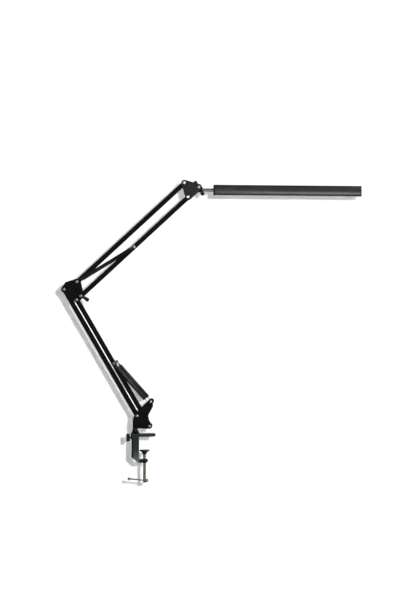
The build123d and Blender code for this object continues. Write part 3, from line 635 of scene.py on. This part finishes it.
# Springs: close-wound coils and hooks, inside their sleeves
WIRE_RADIUS = 0.7
WIRE_SIDES = 8
EYE_RADIUS = 4.2
EYE_WRAP = 385              # degrees from the spring's axis to the eye's free end
EYE_OPEN = 50               # degrees from the axis where the eye leaves for the shank
EYE_STEP = 9                # degrees between its points
LEAD = 2.4                  # from the eye's circle to the start of the shank
LEAD_HANDLE = 2.2           # pull of the curve that joins the two
LEAD_STEPS = 8
HOOK_STEPS = 12
COIL_PITCH = 1.46
COIL_STEPS = 16
COIL_OPENING = 0.8          # turns over which the coil grows to its radius
COIL_ROOM = 1.0             # from the coil to the sleeve's outside
COIL_INSET = 40.0           # coil's end inside its sleeve, clear of the hook at each limit
SLEEVE_WALL = 0.7
SLEEVE_STEPS = 48
MOUTH_DEPTH = 0.3           # of the eased inner edge at a sleeve's end
MOUTH_SLOPE = (0.15, 0.05)  # a point on that edge, out from the bore and in from the end
LIP_ROUND = 0.3             # radius of the outer edge
LIP_ARC = (-60, 0, 3)       # its start and end in degrees, and its steps
LIP_ENDS = (1.5, 1.7)       # where the lip stops and the tube goes on
LIP_STEP = 0.12             # the lip's height above the tube

# Pins that the springs hang between, as (x, z)
LOWER_BOLT = (-80.2499, 191.0128)
LOWER_LUG = (-73.1485, 195.1128)
REAR_PIN = (17.7501, 92.3)
FRONT_PIN = (10.6487, 88.2)
UPPER_BOLT = (-27.236, 494.534)
ELBOW_BOLT = (-175.15, 403.79)
LOWER_SPRING_Y = 10.3
UPPER_SPRING_Y = 10.8
# A sleeve's radius, its ends' distance from the two pins and how broad its section is for its
# depth, then the length of the hook and how far its shank is off the axis
LOWER_SPRING = {
    "sleeve_radius": 4.0, "sleeve_start": 12.6, "sleeve_end": 13.7, "breadth": 1.26,
    "hook_length": 32.0, "lean": 0.0,
}
UPPER_SPRING = {
    "sleeve_radius": 4.5, "sleeve_start": 10.0, "sleeve_end": 14.9, "breadth": 1.0,
    "hook_length": 42.0, "lean": -2.5,
}


def eye(lean):
    """A hook's path in its own plane, from its free end round a pin and on to its shank.

    The shank is off the axis by lean.
    """
    path = []
    for angle in range(EYE_WRAP, EYE_OPEN - 1, -EYE_STEP):
        turn = math.radians(angle)
        path.append(Vector((EYE_RADIUS * math.cos(turn), EYE_RADIUS * math.sin(turn), 0)))
    leave = math.radians(EYE_OPEN)
    start = path[-1]
    end = Vector((EYE_RADIUS + LEAD, lean, 0))
    handle = start + LEAD_HANDLE * Vector((math.sin(leave), -math.cos(leave), 0))
    other = end - Vector((LEAD_HANDLE, 0, 0))
    for index in range(1, LEAD_STEPS + 1):
        t = index / LEAD_STEPS
        path.append(
            start * (1 - t) ** 3 + handle * 3 * t * (1 - t) ** 2 + other * 3 * t * t * (1 - t) + end * t**3)
    return path


def coil_path(start, end, radius):
    """The eye and the winding of a spring, along its own axis."""
    path = eye(0)
    count = int((end - start) / COIL_PITCH * COIL_STEPS)
    for index in range(count + 1):
        turns = index / COIL_STEPS
        grown = min(1, turns / COIL_OPENING)
        reach = radius * grown * grown * (3 - 2 * grown)
        turn = 2 * math.pi * turns
        path.append(Vector((start + turns * COIL_PITCH, reach * math.cos(turn), reach * math.sin(turn))))
    return path


def hook_path(length, lean):
    """The eye and the straight shank of a hook."""
    path = eye(lean)
    reach = EYE_RADIUS + LEAD
    for index in range(1, HOOK_STEPS + 1):
        path.append(Vector((reach + (length - reach) * index / HOOK_STEPS, lean, 0)))
    return path


def sleeve_tube(radius, length):
    """A moulded tube with a rounded lip at each end, along its own Z."""
    inner = radius - SLEEVE_WALL
    edge = radius - LIP_ROUND
    lip = [(inner, MOUTH_DEPTH), (inner + MOUTH_SLOPE[0], MOUTH_SLOPE[1]), (edge, 0)]
    lip += arc((edge, LIP_ROUND), LIP_ROUND, *LIP_ARC)
    lip += [(radius, LIP_ENDS[0]), (radius - LIP_STEP, LIP_ENDS[1])]
    other_lip = [(reach, length - height) for reach, height in reversed(lip)]
    return lathe(lip + other_lip, SLEEVE_STEPS, closed=True)


def spring_shapes(bolt, anchor, y, sleeve_radius, sleeve_start, sleeve_end, breadth, hook_length, lean):
    """The coil, the anchor's hook and the sleeve of one spring, placed from its bolt to its anchor."""
    span = math.dist(bolt, anchor)
    along = Vector((anchor[0] - bolt[0], 0, anchor[1] - bolt[1])) / span
    square = Vector((-along.z, 0, along.x))
    coil_start = EYE_RADIUS + LEAD + COIL_PITCH / 4
    coil_end = span - sleeve_end - COIL_INSET
    winding = sleeve_radius - COIL_ROOM - WIRE_RADIUS
    bolt_end = Vector((bolt[0], y, bolt[1]))
    anchor_end = Vector((anchor[0], y, anchor[1]))
    coil = [bolt_end + along * p.x + square * p.y + Y * p.z for p in coil_path(coil_start, coil_end, winding)]
    hook = [anchor_end - along * p.x + square * p.y + Y * p.z for p in hook_path(hook_length, lean)]
    tube = sleeve_tube(sleeve_radius, span - sleeve_end - sleeve_start)
    tube = placed(tube, bolt_end + along * sleeve_start, square * breadth, Y, along)
    return wire(coil, WIRE_RADIUS, WIRE_SIDES), wire(hook, WIRE_RADIUS, WIRE_SIDES), tube


for side, bolt, anchor, y in (
    ("front", LOWER_BOLT, FRONT_PIN, -LOWER_SPRING_Y),
    ("rear", LOWER_LUG, REAR_PIN, LOWER_SPRING_Y),
):
    coil, hook, tube = spring_shapes(bolt, anchor, y, **LOWER_SPRING)
    settle(f"lower_coil_{side}", mesh_of("coil", [coil]), f"lower_spring_{side}")
    settle(f"lower_wire_hook_{side}", mesh_of("hook", [hook]), f"lower_hook_{side}")
    settle(f"lower_tube_{side}", mesh_of("tube", [tube]), f"lower_sleeve_{side}")
upper_pair = [
    spring_shapes(UPPER_BOLT, ELBOW_BOLT, y, **UPPER_SPRING) for y in (-UPPER_SPRING_Y, UPPER_SPRING_Y)
]
for name, node, index in (
    ("upper_coils", "upper_springs", 0),
    ("upper_wire_hooks", "upper_spring_hooks", 1),
    ("upper_tubes", "upper_sleeves", 2),
):
    settle(name, mesh_of(name, [shapes[index] for shapes in upper_pair]), node)

# Pieces that keep their CAD shape, with the width and segments of their rounded edges
for node, width, segments in (
    ("clamp_body", 0.45, 2),
    ("set_screw", 0.35, 2),
    ("post", 0.5, 2),
    ("base_plate_front", 0.3, 2),
    ("base_plate_rear", 0.3, 2),
    ("elbow_plate_front", 0.3, 2),
    ("elbow_plate_rear", 0.3, 2),
    ("head_plate_front", 0.3, 2),
    ("head_plate_rear", 0.3, 2),
    ("lower_spring_lug", 0.25, 2),
    ("tilt_knuckle", 0.6, 3),
    ("stem", 0.3, 2),
    ("inner_end_cap", 0.5, 2),
    ("outer_end_cap", 0.4, 2),
    ("outer_end_sleeve", 0.12, 2),
    ("bar_housing", 0.12, 2),
    ("diffuser", 0.25, 2),
    ("led_chips", 0.2, 2),
    ("tommy_knobs", 0.2, 2),
):
    dress(node, width, segments)

# Spring pins: the front stub's outer end is painted over with its plate
PIN_EDGE = 0.35
PAINT_LINE = -15.9
pins = dress("base_spring_pin", PIN_EDGE)
pins.data.materials.append(finishes["black_paint"])
for polygon in pins.data.polygons:
    place = polygon.center / MM
    if place.y < PAINT_LINE and math.dist((place.x, place.z), FRONT_PIN) < NUT_RADIUS:
        polygon.material_index = 1

# Wing nuts: cast wings that thicken towards their rounded tips
WING_ANGLES = {"elbow_wing_nut": -34.4, "head_wing_nut": -57.0}
WING_HUB = 5.2
WING_REACH = 22.0
WING_HALF = 2.8             # half of a wing's CAD thickness
WING_ROOT_FLARE = 0.2       # growth of that thickness at the hub
WING_FLARE = 0.9            # and at the tip
WING_ROUND = 3.0            # how far a tip's edges fall back from its middle
WING_SLICES = (-0.8, -0.55, -0.28, 0, 0.28, 0.55, 0.8)
for node, angle in WING_ANGLES.items():
    low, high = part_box(node)
    centre = (low + high) / 2
    turn = math.radians(angle)
    along = Vector((math.cos(turn), 0, math.sin(turn)))
    square = Vector((-math.sin(turn), 0, math.cos(turn)))
    work = merged(node)
    for share in WING_SLICES:
        bmesh.ops.bisect_plane(
            work, geom=work.verts[:] + work.edges[:] + work.faces[:], dist=WELD * MM,
            plane_co=centre + square * share * WING_HALF * MM, plane_no=square)
    for vertex in work.verts:
        offset = (vertex.co - centre) / MM
        reach = offset.dot(along)
        aside = offset.dot(square)
        share = min(1, max(0, (abs(reach) - WING_HUB) / (WING_REACH - WING_HUB)))
        back = WING_ROUND * share * (aside / WING_HALF) ** 2
        vertex.co += square * aside * (WING_ROOT_FLARE + (WING_FLARE - WING_ROOT_FLARE) * share) * MM
        vertex.co -= along * math.copysign(back, reach) * MM
    settle(node + "_winged", mesh_from(node + "_winged", work), node)

# CAD nodes that stay, each with its finish
for node, cad in frame["nodes"].items():
    if not cad.hide_render:
        cad.data.materials.clear()
        cad.data.materials.append(finish_for(node))

# Stage: a pale floor below the clamp and a pale backdrop behind the arm
FLOOR_Z = -0.45
FLOOR_GLOW = 0.55
BACKDROP_Y = 1.0
BACKDROP_GLOW = 0.1
STAGE_REACH = 9.0
STAGE_TOP = 4.0
STAGE_WHITE = (0.93, 0.93, 0.93, 1)


def stage_material(name, glow):
    """Pale and matt, a little brighter to what looks at it, and clear from behind."""
    made = bpy.data.materials.new(name)
    made.use_nodes = True
    tree = made.node_tree
    tree.nodes.clear()
    matt = tree.nodes.new("ShaderNodeBsdfDiffuse")
    matt.inputs["Color"].default_value = STAGE_WHITE
    light = tree.nodes.new("ShaderNodeEmission")
    rays = tree.nodes.new("ShaderNodeLightPath").outputs
    seen = worked(tree, "MAXIMUM", rays["Is Camera Ray"], rays["Is Glossy Ray"])
    seen = worked(tree, "MAXIMUM", seen, rays["Is Transmission Ray"])
    tree.links.new(worked(tree, "MULTIPLY", seen, glow), light.inputs["Strength"])
    added = tree.nodes.new("ShaderNodeAddShader")
    tree.links.new(matt.outputs["BSDF"], added.inputs[0])
    tree.links.new(light.outputs["Emission"], added.inputs[1])
    clear = tree.nodes.new("ShaderNodeBsdfTransparent")
    side = tree.nodes.new("ShaderNodeNewGeometry")
    mixed = tree.nodes.new("ShaderNodeMixShader")
    tree.links.new(side.outputs["Backfacing"], mixed.inputs["Fac"])
    tree.links.new(added.outputs["Shader"], mixed.inputs[1])
    tree.links.new(clear.outputs["BSDF"], mixed.inputs[2])
    output = tree.nodes.new("ShaderNodeOutputMaterial")
    tree.links.new(mixed.outputs["Shader"], output.inputs["Surface"])
    return made


for name, corners, glow in (
    ("stage_floor", [
        (-STAGE_REACH, -STAGE_REACH, FLOOR_Z), (STAGE_REACH, -STAGE_REACH, FLOOR_Z),
        (STAGE_REACH, BACKDROP_Y, FLOOR_Z), (-STAGE_REACH, BACKDROP_Y, FLOOR_Z)], FLOOR_GLOW),
    ("stage_backdrop", [
        (-STAGE_REACH, BACKDROP_Y, FLOOR_Z), (STAGE_REACH, BACKDROP_Y, FLOOR_Z),
        (STAGE_REACH, BACKDROP_Y, STAGE_TOP), (-STAGE_REACH, BACKDROP_Y, STAGE_TOP)], BACKDROP_GLOW),
):
    sheet = bpy.data.meshes.new(name)
    sheet.from_pydata(corners, [], [(0, 1, 2, 3)])
    sheet.materials.append(stage_material(name, glow))
    stage = bpy.data.objects.new(name, sheet)
    bpy.context.scene.collection.objects.link(stage)

# Black cards on the floor, behind the clamp and by the camera, seen only in reflections: they edge the
# bright metal and keep the floor under the key light out of the clamp's faces
CARD_BLACK = (0.01, 0.01, 0.01, 1)
CARD_LIFT = 0.01            # above the floor
CARD_REACH = 2.0
CARD_FAR_Y = 0.9
CARD_LEFT = -1.3
CARD_RIGHT = -0.12
CARD_TOP = 0.12
FRONT_CARD_X = (-2.0, 2.4)
FRONT_CARD_Y = -5.2
card_height = FLOOR_Z + CARD_LIFT
card_mesh = bpy.data.meshes.new("stage_card")
card_mesh.from_pydata([
    (-CARD_REACH, -CARD_REACH, card_height), (CARD_REACH, -CARD_REACH, card_height),
    (CARD_REACH, BACKDROP_Y, card_height), (-CARD_REACH, BACKDROP_Y, card_height),
    (CARD_LEFT, CARD_FAR_Y, card_height), (CARD_RIGHT, CARD_FAR_Y, card_height),
    (CARD_RIGHT, CARD_FAR_Y, CARD_TOP), (CARD_LEFT, CARD_FAR_Y, CARD_TOP),
    (FRONT_CARD_X[0], FRONT_CARD_Y, card_height), (FRONT_CARD_X[1], FRONT_CARD_Y, card_height),
    (FRONT_CARD_X[1], -CARD_REACH, card_height), (FRONT_CARD_X[0], -CARD_REACH, card_height),
], [], [(0, 1, 2, 3), (4, 5, 6, 7), (8, 9, 10, 11)])
card_black = bpy.data.materials.new("stage_card")
card_black.use_nodes = True
card_black.node_tree.nodes["Principled BSDF"].inputs["Base Color"].default_value = CARD_BLACK
card_mesh.materials.append(card_black)
card = bpy.data.objects.new("stage_card", card_mesh)
card.visible_camera = False
card.visible_diffuse = False
card.visible_shadow = False
card.visible_transmission = False
bpy.context.scene.collection.objects.link(card)

# Camera: level, square to the arm
CAMERA_PLACE = (0.1462, -4.357, 0.3552)
CAMERA_LENS = 100.0
camera_data = bpy.data.cameras.new("camera")
camera_data.lens = CAMERA_LENS
camera = bpy.data.objects.new("camera", camera_data)
camera.location = CAMERA_PLACE
camera.rotation_euler = (math.radians(90), 0, 0)
bpy.context.scene.collection.objects.link(camera)
bpy.context.scene.camera = camera

# Key light: small and beside the camera, so that its shadow falls just left of the lamp and below it
KEY_RIGHT = 0.080
KEY_ABOVE = 0.049
KEY_POWER = 700.0
KEY_RADIUS = 0.010
key_data = bpy.data.lights.new("key", "POINT")
key_data.energy = KEY_POWER
key_data.shadow_soft_size = KEY_RADIUS
key = bpy.data.objects.new("key", key_data)
key.location = (CAMERA_PLACE[0] + KEY_RIGHT, CAMERA_PLACE[1], CAMERA_PLACE[2] + KEY_ABOVE)
key.visible_glossy = False
bpy.context.scene.collection.objects.link(key)


# Softboxes: for the band on the bar, the clamp's front, the bright metal and the head
def softbox(name, place, target, width, height, power):
    """A rectangular light that faces a point and shows in reflections only."""
    data = bpy.data.lights.new(name, "AREA")
    data.shape = "RECTANGLE"
    data.size = width
    data.size_y = height
    data.energy = power
    box = bpy.data.objects.new(name, data)
    box.location = place
    box.rotation_euler = (Vector(target) - Vector(place)).to_track_quat("-Z", "Y").to_euler()
    box.visible_camera = False
    box.visible_diffuse = False
    bpy.context.scene.collection.objects.link(box)


softbox("softbox_low", (0.66, -1.6, 0.28), (0.40, 0, 0.6), 0.85, 0.20, 4.0)
softbox("softbox_side", (0.25, -0.75, -0.17), (-0.02, 0, -0.05), 0.14, 0.10, 0.19)
softbox("softbox_high", (1.5, -2.4, 1.9), (0.05, 0, 0.4), 1.0, 1.0, 14.0)
softbox("softbox_head", (0.065, -3.0, 0.88), (0.12, 0, 0.64), 0.33, 0.35, 2.2)

# World: a soft sky for the light, white to the camera, and a room with dark sides to reflections
SKY = 0.2
ROOM_SPAN = (-0.35, 0.45)   # from the front, whose left side is dark, to the rear, which is white
SIDE_SPAN = (0.0, 0.11)     # from left to right across the front
SIDE_LEVELS = (0.03, 0.9)
FLAG_SPAN = (0.25, 0.65)    # from the horizon to dark flags above and below
FLAG_LEVELS = (1.0, 0.06)
world = bpy.data.worlds.new("studio")
world.use_nodes = True
bpy.context.scene.world = world
tree = world.node_tree
background = tree.nodes["Background"]
background.inputs["Color"].default_value = (1, 1, 1, 1)
rays = tree.nodes.new("ShaderNodeLightPath").outputs
place = tree.nodes.new("ShaderNodeTexCoord")
split = tree.nodes.new("ShaderNodeSeparateXYZ")
tree.links.new(place.outputs["Generated"], split.inputs["Vector"])
room = ranged(tree, split.outputs["Y"], ROOM_SPAN, smooth=True)
side = ranged(tree, split.outputs["X"], SIDE_SPAN, SIDE_LEVELS)
height = worked(tree, "ABSOLUTE", split.outputs["Z"])
flags = ranged(tree, height, FLAG_SPAN, FLAG_LEVELS, smooth=True)
mirrored = worked(tree, "MULTIPLY", between(tree, room, side, 1.0), flags)
unseen = between(tree, rays["Is Glossy Ray"], SKY, mirrored)
straight = worked(tree, "MAXIMUM", rays["Is Camera Ray"], rays["Is Transmission Ray"])
tree.links.new(between(tree, straight, unseen, 1.0), background.inputs["Strength"])

bpy.context.scene.view_settings.view_transform = "Standard"
